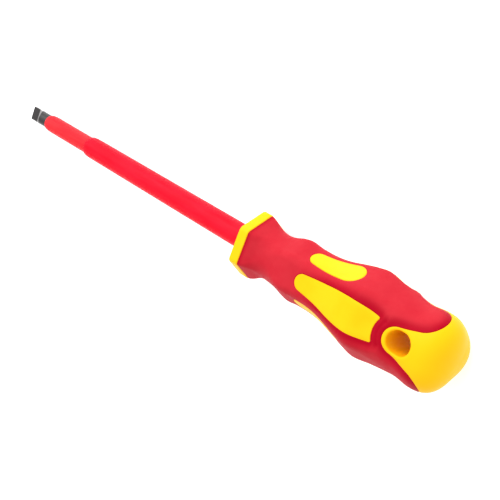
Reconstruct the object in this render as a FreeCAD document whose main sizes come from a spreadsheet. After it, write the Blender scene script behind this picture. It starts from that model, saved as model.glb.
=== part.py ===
"""Insulated slotted screwdriver, 6.5 x 150, as an assembly of its moulded and turned pieces.

Frame: millimetres, +X along the tool's axis towards the blade tip, +Z square to the first broad
panel and along the hanging hole, origin on the axis in the front face of the hexagonal guard.
Distances called "back" run from that face towards the end of the handle. Three broad faces with
panels alternate with three palm lobes that carry finger pads.
"""
import FreeCAD, Part
import math
import os
import Sketcher

doc = FreeCAD.newDocument("insulated_screwdriver")
sheet = doc.addObject("Spreadsheet::Sheet", "sizes")

FLATS = 6                       # sides of the guard and of the grip's middle
LOBES = 3                       # broad faces, and the palm lobes between them
TURN = 360.0
COS_FLAT = math.cos(math.pi / FLATS)


class Size:
    """A number together with the sheet expression that gives it."""

    def __init__(self, text, value):
        self.text = text
        self.value = value

    def _joined(self, sign, other, value):
        return Size("(" + self.text + sign + as_size(other).text + ")", value)

    def __add__(self, other):
        return self._joined(" + ", other, self.value + as_size(other).value)

    def __sub__(self, other):
        return self._joined(" - ", other, self.value - as_size(other).value)

    def __mul__(self, other):
        return self._joined(" * ", other, self.value * as_size(other).value)

    def __truediv__(self, other):
        return self._joined(" / ", other, self.value / as_size(other).value)

    def __neg__(self):
        return Size("(0 - " + self.text + ")", -self.value)


def as_size(number):
    """The number as a Size, unless it is one already."""
    if isinstance(number, Size):
        return number
    return Size("(" + repr(float(number)) + ")", float(number))


rows_used = []


def size(alias, value, meaning):
    """Put one driving dimension in the sheet and return it."""
    rows_used.append(alias)
    row = str(len(rows_used))
    sheet.set("A" + row, alias)
    sheet.set("B" + row, repr(float(value)))
    sheet.setAlias("B" + row, alias)
    sheet.set("C" + row, meaning)
    return Size("sizes." + alias, float(value))


# ---------------------------------------------------------------- driving dimensions
# Blade and its two insulating layers
bar_radius = size("bar_radius", 3.25, "round bar, half of the 6.5 tip width")
tip_front = size("tip_front", 149.4, "tip of the blade")
tip_half_thick = size("tip_half_thick", 0.6, "half of the 1.2 tip thickness")
tip_flat_length = size("tip_flat_length", 4.6, "parallel part of the tip")
tip_grind_radius = size("tip_grind_radius", 2.9, "hollow grinding behind the parallel part")
tail_back = size("tail_back", 62.0, "end of the bar inside the handle")
tail_chamfer = size("tail_chamfer", 0.8, "chamfer on the bar's tail")
wing_back = size("wing_back", 50.0, "front of the two pressed wings")
wing_length = size("wing_length", 7.0, "length of the wings")
wing_width = size("wing_width", 10.0, "span over both wings")
wing_thick = size("wing_thick", 2.2, "thickness of the wings")
inner_radius = size("inner_radius", 4.1, "slim insulating layer")
inner_front = size("inner_front", 137.0, "nose of the slim layer")
inner_nose = size("inner_nose", 3.8, "length of its rounded nose")
outer_radius = size("outer_radius", 5.5, "thick insulating layer at the guard")
outer_radius_tip = size("outer_radius_tip", 5.04, "the same at its front end")
outer_front = size("outer_front", 107.3, "front end of the thick layer")
outer_nose = size("outer_nose", 3.8, "length of its rounded shoulder")
sleeve_back = size("sleeve_back", 9.0, "end of both layers inside the handle")

# Guard
guard_corner = size("guard_corner", 15.2, "guard, axis to corner")
guard_thick = size("guard_thick", 4.68, "thickness of the guard")
guard_corner_round = size("guard_corner_round", 2.0, "rounding of the six corners")
guard_edge = size("guard_edge", 0.5, "broken edges of the guard")
spigot_radius = size("spigot_radius", 8.0, "core's nose inside the guard")
spigot_front = size("spigot_front", 2.2, "front of that nose")

# Outside of the handle, as a row of crests and hollows
collar_radius = size("collar_radius", 15.0, "corners of the collar behind the guard")
collar_back = size("collar_back", 5.4, "end of the collar's full radius")
neck_back = size("neck_back", 14.3, "middle of the neck")
neck_radius = size("neck_radius", 10.95, "radius of the neck")
bulge_back = size("bulge_back", 28.0, "crest in front of the finger pads")
bulge_radius = size("bulge_radius", 14.2, "radius of that crest")
waist_back = size("waist_back", 36.5, "start of the finger waist")
waist_end = size("waist_end", 41.0, "end of the finger waist")
waist_radius = size("waist_radius", 13.5, "radius of the finger waist")
swell_back = size("swell_back", 67.0, "crest that fills the palm")
swell_radius = size("swell_radius", 19.8, "radius of that crest")
hollow_back = size("hollow_back", 88.5, "hollow in front of the end")
hollow_radius = size("hollow_radius", 16.9, "radius of that hollow")
dome_back = size("dome_back", 96.5, "start of the domed end")
dome_radius = size("dome_radius", 17.6, "radius where the dome starts")
dome_shoulder = size("dome_shoulder", 12.0, "radius of the dome's shoulder")
handle_end = size("handle_end", 109.4, "end of the handle")

# Flats of the grip, by their distance from the axis
flat_collar = size("flat_collar", 13.0, "flats of the collar")
flat_bulge = size("flat_bulge", 13.05, "flats on the front crest")
flat_waist = size("flat_waist", 12.42, "flats in the waist")
flat_swell = size("flat_swell", 18.0, "flats on the swell")
flat_runout = size("flat_runout", 19.0, "height where the flats have left the grip")
flat_runout_back = size("flat_runout_back", 80.0, "place where they have left it")
face_hollow = size("face_hollow", 15.6, "the three broad faces at the rear")

# Core under the soft grip
core_neck = size("core_neck", 8.6, "core in the neck")
core_neck_end = size("core_neck_end", 19.0, "end of the core's straight neck")
core_bulge = size("core_bulge", 11.2, "core under the front crest")
core_waist = size("core_waist", 10.2, "core in the waist")
core_swell = size("core_swell", 15.4, "core under the swell")
core_hollow = size("core_hollow", 13.2, "core under the rear lobes")
core_tail_radius = size("core_tail_radius", 11.8, "core where the lobes end")
insert_radius = size("insert_radius", 7.0, "first-shot insert round the blade's tail")
insert_back = size("insert_back", 66.0, "end of the insert")
split_back = size("split_back", 74.0, "joint between core and end cap")

# Windows in the soft grip and the hanging hole
window_back = size("window_back", 37.6, "centre of each window's front arc")
window_front_radius = size("window_front_radius", 4.25, "front arc of each window")
pad_back = size("pad_back", 55.0, "centre of a finger pad's rear arc")
pad_radius = size("pad_radius", 6.3, "rear arc of a finger pad")
panel_wide_back = size("panel_wide_back", 64.5, "widest place of a panel")
panel_half_width = size("panel_half_width", 7.4, "half width there")
panel_end_back = size("panel_end_back", 78.5, "rear corners of a panel")
panel_end_half = size("panel_end_half", 5.4, "half width at those corners")
panel_front_flank = size("panel_front_flank", 200.0, "curve of a panel's long front flanks")
panel_rear_flank = size("panel_rear_flank", 45.0, "curve of its rear flanks")
panel_hollow_radius = size("panel_hollow_radius", 10.9, "hollow of its rear edge")
tongue_back = size("tongue_back", 88.0, "centre of the tongue's front arc")
tongue_radius = size("tongue_radius", 6.9, "front arc of the tongue")
lobe_centre_back = size("lobe_centre_back", 95.7, "centre of a rear lobe's round end")
lobe_centre_side = size("lobe_centre_side", 14.9, "its distance from a face's middle plane")
lobe_radius = size("lobe_radius", 6.6, "radius of a rear lobe's end")
hole_back = size("hole_back", 89.0, "middle of the hanging hole")
hole_half_width = size("hole_half_width", 4.8, "half width of the hanging hole")
hole_stretch = size("hole_stretch", 1.0, "half of the hole's straight part")
hole_rim = size("hole_rim", 1.6, "hard rim round the hole where it leaves a lobe")
form_base = size("form_base", 5.0, "inner end of the window forms")
form_depth = size("form_depth", 20.0, "depth of the window forms")
clearance = size("clearance", 26.0, "a distance outside every surface")


# ---------------------------------------------------------------- helpers
def new_body(name):
    """An empty PartDesign body with its label."""
    made = doc.addObject("PartDesign::Body", name)
    made.Label = name
    return made


def origin_of(body, role):
    """The body's own origin plane or axis of that role."""
    return next(item for item in body.Origin.OriginFeatures if item.Role == role)


def sketch_on(body, name, role="XZ_Plane"):
    """A sketch lying on one of the body's own origin planes."""
    made = body.newObject("Sketcher::SketchObject", name)
    made.AttachmentSupport = [(origin_of(body, role), "")]
    made.MapMode = "FlatFace"
    return made


def pin(sketch, geometry, end, axis, place):
    """Fix one end's X or Y in the sketch to a size."""
    kind = "Distance" + axis
    if abs(place.value) < 1e-9:
        line = -2 if axis == "X" else -1
        sketch.addConstraint(Sketcher.Constraint("PointOnObject", geometry, end, line))
        return
    if place.value > 0:
        rule = Sketcher.Constraint(kind, -1, 1, geometry, end, place.value)
        text = place.text
    else:
        rule = Sketcher.Constraint(kind, geometry, end, -1, 1, -place.value)
        text = (-place).text
    index = sketch.addConstraint(rule)
    sketch.setExpression("Constraints[" + str(index) + "]", text)


def arc_between(start, finish, radius, side):
    """The short arc from start to finish with its centre on the left (1) or right (-1)."""
    chord = finish - start
    height = math.sqrt(max(radius * radius - chord.Length ** 2 / 4, 0.0))
    left = FreeCAD.Vector(-chord.y, chord.x, 0) / chord.Length
    centre = (start + finish) / 2 + left * height * side
    first = math.atan2(start.y - centre.y, start.x - centre.x)
    last = math.atan2(finish.y - centre.y, finish.x - centre.x)
    circle = Part.Circle(centre, FreeCAD.Vector(0, 0, 1), radius)
    if side > 0:
        return Part.ArcOfCircle(circle, first, last), 1, 2
    return Part.ArcOfCircle(circle, last, first), 2, 1


def trace(sketch, corners):
    """Draw a closed outline whose every corner is bound to the sheet.

    A corner is (x, y) when a straight line leads to it, and (x, y, radius, side) when an arc does,
    with the arc's centre on the left (1) or on the right (-1) of the way.
    """
    places = [(as_size(c[0]), as_size(c[1])) for c in corners]
    points = [FreeCAD.Vector(x.value, y.value, 0) for x, y in places]
    ends = []
    for number, corner in enumerate(corners):
        start = points[number - 1]
        finish = points[number]
        if len(corner) == 2:
            index = sketch.addGeometry(Part.LineSegment(start, finish), False)
            ends.append((index, 1, 2))
        else:
            radius = as_size(corner[2])
            arc, first, last = arc_between(start, finish, radius.value, corner[3])
            index = sketch.addGeometry(arc, False)
            ends.append((index, first, last))
            rule = sketch.addConstraint(Sketcher.Constraint("Radius", index, radius.value))
            sketch.setExpression("Constraints[" + str(rule) + "]", radius.text)
    for number, (index, first, last) in enumerate(ends):
        following = ends[(number + 1) % len(ends)]
        join = Sketcher.Constraint("Coincident", index, last, following[0], following[1])
        sketch.addConstraint(join)
        pin(sketch, index, last, "X", places[number][0])
        pin(sketch, index, last, "Y", places[number][1])


def wave(crests):
    """Corners of a smooth line through crests and hollows, given as (back, radius) pairs.

    Between a crest and a hollow run two equal arcs that meet half-way and lie level at both ends;
    between two equal radii runs a straight line.
    """
    corners = []
    for (back, radius), (next_back, next_radius) in zip(crests, crests[1:]):
        run = next_back - back
        rise = next_radius - radius
        if abs(rise.value) < 1e-6:
            corners.append((-next_back, next_radius))
            continue
        side = 1 if rise.value < 0 else -1
        lift = rise if rise.value > 0 else -rise
        bend = (run * run + lift * lift) / (lift * 4)
        middle_back = (back + next_back) / 2
        middle_radius = (radius + next_radius) / 2
        corners.append((-middle_back, middle_radius, bend, side))
        corners.append((-next_back, next_radius, bend, -side))
    return corners


def turned(body, name, corners):
    """Revolve an outline about the tool's axis."""
    outline = sketch_on(body, name + "_outline")
    trace(outline, corners)
    made = body.newObject("PartDesign::Revolution", name)
    made.Profile = outline
    made.ReferenceAxis = (outline, ["H_Axis"])
    made.Angle = TURN
    return made


def through(body, kind, name, outline, reach):
    """Pad or pocket an outline equally to both sides of its plane."""
    made = body.newObject("PartDesign::" + kind, name)
    made.Profile = outline
    made.Midplane = True
    made.setExpression("Length", (reach * 2).text)
    return made


def around_axis(body, name, feature, count):
    """Repeat the body's last feature evenly about the tool's axis."""
    made = body.newObject("PartDesign::PolarPattern", name)
    made.Originals = [feature]
    made.Axis = (origin_of(body, "X_Axis"), [""])
    made.Angle = TURN
    made.Occurrences = count
    body.Tip = made


def cut(name, base, tool):
    """A Part::Cut of one object by another."""
    made = doc.addObject("Part::Cut", name)
    made.Label = name
    made.Base = base
    made.Tool = tool
    made.Refine = False
    return made


def gathered(kind, name, shapes):
    """A Part::MultiFuse or Part::MultiCommon of several objects."""
    made = doc.addObject("Part::" + kind, name)
    made.Label = name
    made.Shapes = shapes
    return made


def hexagon(corner):
    """Corners of a hexagon with two of them on the sketch's X axis."""
    angles = [math.radians(TURN / FLATS * k) for k in range(FLATS)]
    return [(corner * round(math.cos(a), 9), corner * round(math.sin(a), 9)) for a in angles]


# ---------------------------------------------------------------- blade
# Blackened steel bar, ground to a flat tip, with two wings pressed out of its tail.
blade = new_body("blade")
turned(blade, "bar", [
    (-tail_back, 0),
    (-tail_back, bar_radius - tail_chamfer),
    (-(tail_back - tail_chamfer), bar_radius),
    (tip_front, bar_radius),
    (tip_front, 0),
])
grind = sketch_on(blade, "grind_outline")
grind_start = tip_front - tip_flat_length
grind_top = tip_half_thick + tip_grind_radius
trace(grind, [
    (tip_front + 1, tip_half_thick),
    (grind_start, tip_half_thick),
    (grind_start - tip_grind_radius, grind_top, tip_grind_radius, -1),
    (tip_front + 1, grind_top),
])
grind_cut = through(blade, "Pocket", "grind", grind, bar_radius * 2)
other_side = blade.newObject("PartDesign::Mirrored", "grind_below")
other_side.Originals = [grind_cut]
other_side.MirrorPlane = (origin_of(blade, "XY_Plane"), [""])
blade.Tip = other_side
wings = sketch_on(blade, "wing_outline", "XY_Plane")
trace(wings, [
    (-wing_back, wing_width / 2),
    (-(wing_back + wing_length), wing_width / 2),
    (-(wing_back + wing_length), -(wing_width / 2)),
    (-wing_back, -(wing_width / 2)),
])
through(blade, "Pad", "wings", wings, wing_thick / 2)

# ---------------------------------------------------------------- insulating layers
# The slim layer covers the whole bar and shows at the nose only.
inner_sleeve = new_body("inner_sleeve")
nose_wall = inner_radius - bar_radius
turned(inner_sleeve, "slim_layer", [
    (-sleeve_back, bar_radius),
    (inner_front, bar_radius),
    (inner_front - inner_nose, inner_radius,
     (inner_nose * inner_nose + nose_wall * nose_wall) / (nose_wall * 2), 1),
    (-sleeve_back, inner_radius),
])

# The thick layer tapers a little towards its rounded front shoulder.
outer_sleeve = new_body("outer_sleeve")
shoulder = outer_radius_tip - inner_radius
turned(outer_sleeve, "thick_layer", [
    (-sleeve_back, inner_radius),
    (outer_front, inner_radius),
    (outer_front - outer_nose, outer_radius_tip,
     (outer_nose * outer_nose + shoulder * shoulder) / (shoulder * 2), 1),
    (0, outer_radius),
    (-sleeve_back, outer_radius),
])

# ---------------------------------------------------------------- guard ring
# Hard hexagonal plate, pushed over the thick layer and onto the core's nose.
guard_ring = new_body("guard_ring")
guard_outline = sketch_on(guard_ring, "guard_outline", "YZ_Plane")
trace(guard_outline, hexagon(guard_corner))
guard_plate = guard_ring.newObject("PartDesign::Pad", "guard_plate")
guard_plate.Profile = guard_outline
guard_plate.Reversed = True
guard_plate.setExpression("Length", guard_thick.text)
guard_bore = sketch_on(guard_ring, "guard_bore_outline")
trace(guard_bore, [
    (1, 0),
    (1, outer_radius),
    (-spigot_front, outer_radius),
    (-spigot_front, spigot_radius),
    (-(guard_thick + 1), spigot_radius),
    (-(guard_thick + 1), 0),
])
guard_groove = guard_ring.newObject("PartDesign::Groove", "guard_bore")
guard_groove.Profile = guard_bore
guard_groove.ReferenceAxis = (guard_bore, ["H_Axis"])
guard_groove.Angle = TURN
doc.recompute()


def edges_where(shape, wanted):
    """Names of the edges that a test accepts."""
    return ["Edge" + str(n) for n, edge in enumerate(shape.Edges, 1) if wanted(edge)]


def is_corner(edge):
    """An outer edge that runs along the tool's axis."""
    box = edge.BoundBox
    spread = max(box.YLength, box.ZLength)
    away = math.hypot(box.Center.y, box.Center.z)
    return spread < 1e-6 and away > guard_corner.value - 1


corner_round = guard_ring.newObject("PartDesign::Fillet", "guard_corners")
corner_round.Base = (guard_groove, edges_where(guard_groove.Shape, is_corner))
corner_round.setExpression("Radius", guard_corner_round.text)
doc.recompute()


def is_rim(edge):
    """An edge of the front or rear face, outside the bore."""
    box = edge.BoundBox
    away = math.hypot(box.Center.y, box.Center.z)
    return box.XLength < 1e-6 and away > spigot_radius.value


rim_break = guard_ring.newObject("PartDesign::Chamfer", "guard_rims")
rim_break.Base = (corner_round, edges_where(corner_round.Shape, is_rim))
rim_break.setExpression("Size", guard_edge.text)

# ---------------------------------------------------------------- forms of the handle
# The handle's outside: a turned body with a hexagonal middle and three broad faces at its rear.
outside = new_body("outside_form")
dome_length = handle_end - dome_back
dome_drop = dome_radius - dome_shoulder
dome_end_radius = (
    dome_length * dome_length + dome_drop * dome_drop - dome_shoulder * dome_shoulder
) / ((dome_length - dome_shoulder) * 2)
dome_centre_back = handle_end - dome_end_radius
dome_reach = dome_shoulder / (dome_end_radius - dome_shoulder)
dome_join_back = dome_back + (dome_back - dome_centre_back) * dome_reach
dome_join_radius = dome_drop + dome_drop * dome_reach
turned(outside, "outside_turned", [
    (-guard_thick, 0),
    (-guard_thick, collar_radius),
    (-collar_back, collar_radius),
] + wave([
    (collar_back, collar_radius),
    (neck_back, neck_radius),
    (bulge_back, bulge_radius),
    (waist_back, waist_radius),
    (waist_end, waist_radius),
    (swell_back, swell_radius),
    (hollow_back, hollow_radius),
    (dome_back, dome_radius),
]) + [
    (-dome_join_back, dome_join_radius, dome_shoulder, 1),
    (-handle_end, 0, dome_end_radius, 1),
])
flats_outline = sketch_on(outside, "flats_outline")
trace(flats_outline, [
    (0, clearance),
    (0, flat_collar),
    (-bulge_back, flat_bulge),
] + wave([
    (bulge_back, flat_bulge),
    (waist_back, flat_waist),
    (waist_end, flat_waist),
    (swell_back, flat_swell),
]) + [
    (-flat_runout_back, flat_runout),
    (-flat_runout_back, clearance),
])
flat = through(outside, "Pocket", "flat", flats_outline, swell_radius)
around_axis(outside, "flats", flat, FLATS)
faces_outline = sketch_on(outside, "faces_outline")
trace(faces_outline, [
    (-swell_back, clearance),
    (-swell_back, flat_swell),
] + wave([
    (swell_back, flat_swell),
    (hollow_back, face_hollow),
]) + [
    (-(handle_end + 1), face_hollow),
    (-(handle_end + 1), clearance),
])
face = through(outside, "Pocket", "broad_face", faces_outline, swell_radius)
around_axis(outside, "broad_faces", face, LOBES)

# The core's outside, one wall of soft grip inside the handle's.
core_form = new_body("core_form")
lobe_end = lobe_centre_back + lobe_radius
turned(core_form, "core_turned", [
    (-spigot_front, 0),
    (-spigot_front, spigot_radius),
    (-guard_thick, spigot_radius),
    (-guard_thick, core_neck),
    (-core_neck_end, core_neck),
] + wave([
    (core_neck_end, core_neck),
    (bulge_back, core_bulge),
    (waist_back, core_waist),
    (waist_end, core_waist),
    (swell_back, core_swell),
    (hollow_back, core_hollow),
    (lobe_centre_back, core_hollow),
]) + [
    (-lobe_end, core_tail_radius),
    (-lobe_end, 0),
])

# Three tongues and the end: everything at the rear that is hard plastic right to the surface.
tongue_form = new_body("tongue_form")
tongue_outline = sketch_on(tongue_form, "tongue_outline", "XY_Plane")
lobe_inner_side = lobe_centre_side - lobe_radius
trace(tongue_outline, [
    (-lobe_centre_back, lobe_inner_side),
    (-lobe_end, lobe_centre_side, lobe_radius, -1),
    (-lobe_end, clearance),
    (-(handle_end + 1), clearance),
    (-(handle_end + 1), -clearance),
    (-lobe_end, -clearance),
    (-lobe_end, -lobe_centre_side),
    (-lobe_centre_back, -lobe_inner_side, lobe_radius, -1),
    (-tongue_back, -tongue_radius),
    (-(tongue_back - tongue_radius), 0, tongue_radius, 1),
    (-tongue_back, tongue_radius, tongue_radius, 1),
])
tongue = tongue_form.newObject("PartDesign::Pad", "tongue")
tongue.Profile = tongue_outline
tongue.setExpression("Length", clearance.text)
around_axis(tongue_form, "tongues", tongue, LOBES)


def window_form(name, corners):
    """A prism from near the axis outwards through one flat of the grip."""
    body = new_body(name)
    outline = sketch_on(body, name + "_outline", "XY_Plane")
    outline.setExpression(".AttachmentOffset.Base.z", form_base.text)
    trace(outline, corners)
    prism = body.newObject("PartDesign::Pad", name + "_prism")
    prism.Profile = outline
    prism.setExpression("Length", form_depth.text)
    return body


def tangent_spots(front_back, front_radius, rear_back, rear_radius):
    """Where a straight flank touches two arcs of different radius, as two (back, side) pairs."""
    run = rear_back - front_back
    grow = (rear_radius - front_radius) / run
    rise = math.sqrt(1 - grow.value ** 2)
    front = (front_back - front_radius * grow, front_radius * rise)
    rear = (rear_back - rear_radius * grow, rear_radius * rise)
    return front, rear


def pad_corners():
    """Outline of a finger pad: a small front arc and a large rear arc joined by straight flanks."""
    front, rear = tangent_spots(window_back, window_front_radius, pad_back, pad_radius)
    return [
        (-front[0], front[1], window_front_radius, 1),
        (-rear[0], rear[1]),
        (-(pad_back + pad_radius), 0, pad_radius, 1),
        (-rear[0], -rear[1], pad_radius, 1),
        (-front[0], -front[1]),
        (-(window_back - window_front_radius), 0, window_front_radius, 1),
    ]


def panel_corners():
    """Outline of a panel: a pad's front, bowed flanks, and an end hollowed round the tongue."""
    return [
        (-window_back, window_front_radius, window_front_radius, 1),
        (-panel_wide_back, panel_half_width, panel_front_flank, 1),
        (-panel_end_back, panel_end_half, panel_rear_flank, 1),
        (-panel_end_back, -panel_end_half, panel_hollow_radius, -1),
        (-panel_wide_back, -panel_half_width, panel_rear_flank, 1),
        (-window_back, -window_front_radius, panel_front_flank, 1),
        (-(window_back - window_front_radius), 0, window_front_radius, 1),
    ]


def oval(half_width):
    """Outline of the hanging hole, or of its rim: two half circles and the straights between."""
    front = hole_back - hole_stretch
    rear = hole_back + hole_stretch
    return [
        (-rear, half_width),
        (-(rear + half_width), 0, half_width, 1),
        (-rear, -half_width, half_width, 1),
        (-front, -half_width),
        (-(front - half_width), 0, half_width, 1),
        (-front, half_width, half_width, 1),
    ]


def turn_about_axis(thing, degrees):
    """Turn a piece about the tool's axis, from +Z towards -Y."""
    about = FreeCAD.Rotation(FreeCAD.Vector(1, 0, 0), degrees)
    thing.Placement = FreeCAD.Placement(FreeCAD.Vector(0, 0, 0), about)


def inlay(name, corners, degrees):
    """One yellow inlay and the form of its window, in the flat at that angle."""
    form = window_form(name + "_form", corners)
    turn_about_axis(form, degrees)
    block = gathered("MultiCommon", name + "_block", [outside, form])
    return form, cut(name, block, core_form)


# ---------------------------------------------------------------- yellow inlays
windows = []
inlays = []
for number in range(LOBES):
    face_angle = TURN / LOBES * number
    lobe_angle = face_angle + TURN / FLATS
    for name, corners, degrees in (
        ("panel_", panel_corners(), face_angle),
        ("finger_pad_", pad_corners(), lobe_angle),
    ):
        form, piece = inlay(name + str(number + 1), corners, degrees)
        windows.append(form)
        inlays.append(piece)

# ---------------------------------------------------------------- hanging hole
# It runs from the first broad face to the lobe opposite, where a hard rim comes up round it.
hole_form = new_body("hole_form")
hole_outline = sketch_on(hole_form, "hole_outline", "XY_Plane")
trace(hole_outline, oval(hole_half_width))
through(hole_form, "Pad", "hole", hole_outline, clearance)
rim_form = new_body("rim_form")
rim_outline = sketch_on(rim_form, "rim_outline", "XY_Plane")
trace(rim_outline, oval(hole_half_width + hole_rim))
rim = rim_form.newObject("PartDesign::Pad", "rim")
rim.Profile = rim_outline
rim.Reversed = True
rim.setExpression("Length", clearance.text)
hard_form = gathered("MultiFuse", "hard_form", [tongue_form, rim_form])

# ---------------------------------------------------------------- soft grip
# Red skin moulded round the core, open at the six windows, round the tongues and at the rim.
grip_tools = gathered("MultiFuse", "grip_tools", [core_form, hard_form] + windows)
soft_grip = cut("soft_grip", outside, grip_tools)

# ---------------------------------------------------------------- insert round the blade's tail
# First-shot moulding that fills the core's bore and holds the wings against turning.
insert_blank = new_body("insert_blank")
turned(insert_blank, "insert_turned", [
    (-sleeve_back, 0),
    (-sleeve_back, insert_radius),
    (-insert_back, insert_radius),
    (-insert_back, 0),
])
core_insert = cut("core_insert", insert_blank, blade)

# ---------------------------------------------------------------- core and end cap
# The core is bored for the layers and the insert; the end cap closes it with a spigot.
bore_form = new_body("bore_form")
turned(bore_form, "bore_turned", [
    (0, 0),
    (0, outer_radius),
    (-sleeve_back, outer_radius),
    (-sleeve_back, insert_radius),
    (-clearance * 3, insert_radius),
    (-clearance * 3, 0),
])
rear_form = new_body("rear_form")
turned(rear_form, "rear_turned", [
    (-split_back, 0),
    (-split_back, clearance),
    (-(handle_end + 1), clearance),
    (-(handle_end + 1), 0),
])
core_tools = gathered("MultiFuse", "core_tools", [bore_form, rear_form])
handle_core = cut("handle_core", core_form, core_tools)

cap_tail = gathered("MultiCommon", "cap_tail", [core_form, rear_form])
cap_skin = gathered("MultiCommon", "cap_skin", [outside, hard_form])
spigot = new_body("spigot")
turned(spigot, "spigot_turned", [
    (-insert_back, 0),
    (-insert_back, insert_radius),
    (-(split_back + 1), insert_radius),
    (-(split_back + 1), 0),
])
cap_blank = gathered("MultiFuse", "cap_blank", [cap_tail, cap_skin, spigot])
end_cap = cut("end_cap", cap_blank, hole_form)

# ---------------------------------------------------------------- check and write
parts = [blade, inner_sleeve, outer_sleeve, guard_ring, core_insert, handle_core]
parts += [soft_grip, end_cap] + inlays
doc.recompute()
for item in doc.Objects:
    trouble = [state for state in item.State if state in ("Invalid", "Error")]
    if trouble:
        raise RuntimeError(item.Label + " did not build: " + ", ".join(trouble))
os.makedirs("parts", exist_ok=True)
for part in parts:
    shape = part.Shape
    if shape.isNull() or not shape.isValid() or not shape.Solids:
        raise RuntimeError(part.Label + " has no valid solid")
    box = shape.BoundBox
    print(f"{part.Label:15s} solids {len(shape.Solids)}  volume {shape.Volume:9.1f} mm3")
    print(f"{'':15s} x {box.XMin:7.2f} {box.XMax:7.2f}  z {box.ZMin:6.2f} {box.ZMax:6.2f}")
    shape.exportStep(os.path.join("parts", part.Label + ".step"))
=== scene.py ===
import math

import bmesh
import bpy
import numpy as np
from mathutils import Matrix, Vector
from mathutils.geometry import delaunay_2d_cdt


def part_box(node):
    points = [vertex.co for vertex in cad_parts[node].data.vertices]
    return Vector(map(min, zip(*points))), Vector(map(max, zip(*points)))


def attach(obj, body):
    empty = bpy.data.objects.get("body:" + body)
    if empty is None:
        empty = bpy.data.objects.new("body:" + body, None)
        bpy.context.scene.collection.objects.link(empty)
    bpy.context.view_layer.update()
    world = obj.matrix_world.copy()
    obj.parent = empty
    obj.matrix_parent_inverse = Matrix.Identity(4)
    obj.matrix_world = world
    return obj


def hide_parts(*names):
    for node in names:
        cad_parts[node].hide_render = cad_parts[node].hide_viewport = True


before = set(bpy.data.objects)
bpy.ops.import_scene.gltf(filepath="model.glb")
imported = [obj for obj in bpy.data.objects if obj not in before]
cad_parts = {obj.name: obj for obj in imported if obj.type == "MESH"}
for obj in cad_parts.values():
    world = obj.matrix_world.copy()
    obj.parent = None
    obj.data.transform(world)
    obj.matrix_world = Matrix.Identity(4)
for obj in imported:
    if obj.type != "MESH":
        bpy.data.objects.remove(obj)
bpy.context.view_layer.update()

# ------------------------------------------------------------------ blade
# Round steel bar, blackened, ground from both sides to a flat slotted tip. The grinding ends in a
# short shoulder, where a light band is a painted highlight; the tail with its wings is moulded into
# the handle.
MM = 0.001                                   # sizes below are millimetres
BAR_RADIUS = 3.25
TIP_HALF = 0.6                               # half the thickness of the tip
TIP_FLAT = 4.6                               # how far back from its end the tip stays that thin
TIP_BEVEL = (0.12, 0.1)                      # of the tip's end: its length and its depth
TAIL_BEVEL = 0.8
GRIND_RADIUS = 2.9
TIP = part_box("blade")[1][0] / MM
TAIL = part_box("blade")[0][0] / MM


class Shade:
    """One socket of a material, so that shader maths can be written as an expression."""

    def __init__(self, tree, socket):
        self.tree = tree
        self.socket = socket

    def maths(self, operation, *others, first=None):
        node = self.tree.nodes.new("ShaderNodeMath")
        node.operation = operation
        for slot, value in zip(node.inputs, [self if first is None else first, *others]):
            plug(self.tree, slot, value)
        return Shade(self.tree, node.outputs[0])

    def __add__(self, other):
        return self.maths("ADD", other)

    def __sub__(self, other):
        return self.maths("SUBTRACT", other)

    def __mul__(self, other):
        return self.maths("MULTIPLY", other)

    def __rsub__(self, other):
        return self.maths("SUBTRACT", self, first=other)

    __radd__ = __add__
    __rmul__ = __mul__

    def between(self, low, high):
        """0 where the value is under low, 1 over high, smooth in between."""
        node = self.tree.nodes.new("ShaderNodeMapRange")
        node.interpolation_type = "SMOOTHSTEP"
        for name, value in (("Value", self), ("From Min", low), ("From Max", high)):
            plug(self.tree, node.inputs[name], value)
        return Shade(self.tree, node.outputs["Result"])


def plug(tree, slot, value):
    """Give a node's input a number, a colour or another node's socket."""
    if isinstance(value, Shade):
        tree.links.new(value.socket, slot)
    elif isinstance(value, (tuple, list)) and len(value) == 3 and slot.type == "RGBA":
        slot.default_value = (*value, 1.0)
    else:
        slot.default_value = value


class Finish:
    """A material under construction: its tree, its shader, and one method for any node."""

    def __init__(self, name, **constants):
        self.material = bpy.data.materials.new(name)
        self.material.use_nodes = True
        self.tree = self.material.node_tree
        self.shader = self.tree.nodes["Principled BSDF"]
        for label, value in constants.items():
            plug(self.tree, self.shader.inputs[label.replace("_", " ")], value)

    def node(self, kind, output=0, settings=None, **inputs):
        made = self.tree.nodes.new("ShaderNode" + kind)
        for label, value in (settings or {}).items():
            setattr(made, label, value)
        for label, value in inputs.items():
            plug(self.tree, made.inputs[label.replace("_", " ")], value)
        return Shade(self.tree, made.outputs[output])

    def place(self):
        """Object coordinates: metres in the tool's own frame."""
        return self.node("TexCoord", "Object")

    def noise(self, scale, detail=2.0, roughness=0.5, at=None):
        """Soft random value around one half, with that many features per metre."""
        return self.node(
            "TexNoise", "Fac", Vector=self.place() if at is None else at,
            Scale=scale, Detail=detail, Roughness=roughness)

    def mix(self, mask, low, high):
        """One colour where the mask is 0, the other where it is 1."""
        made = self.tree.nodes.new("ShaderNodeMix")
        made.data_type = "RGBA"
        for slot, value in ((made.inputs[0], mask), (made.inputs[6], low), (made.inputs[7], high)):
            plug(self.tree, slot, value)
        return Shade(self.tree, made.outputs[2])

    def feed(self, label, value):
        plug(self.tree, self.shader.inputs[label], value)

    def bump(self, height, distance, strength=1.0):
        self.feed("Normal", self.node(
            "Bump", 0, Height=height, Distance=distance, Strength=strength))


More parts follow.
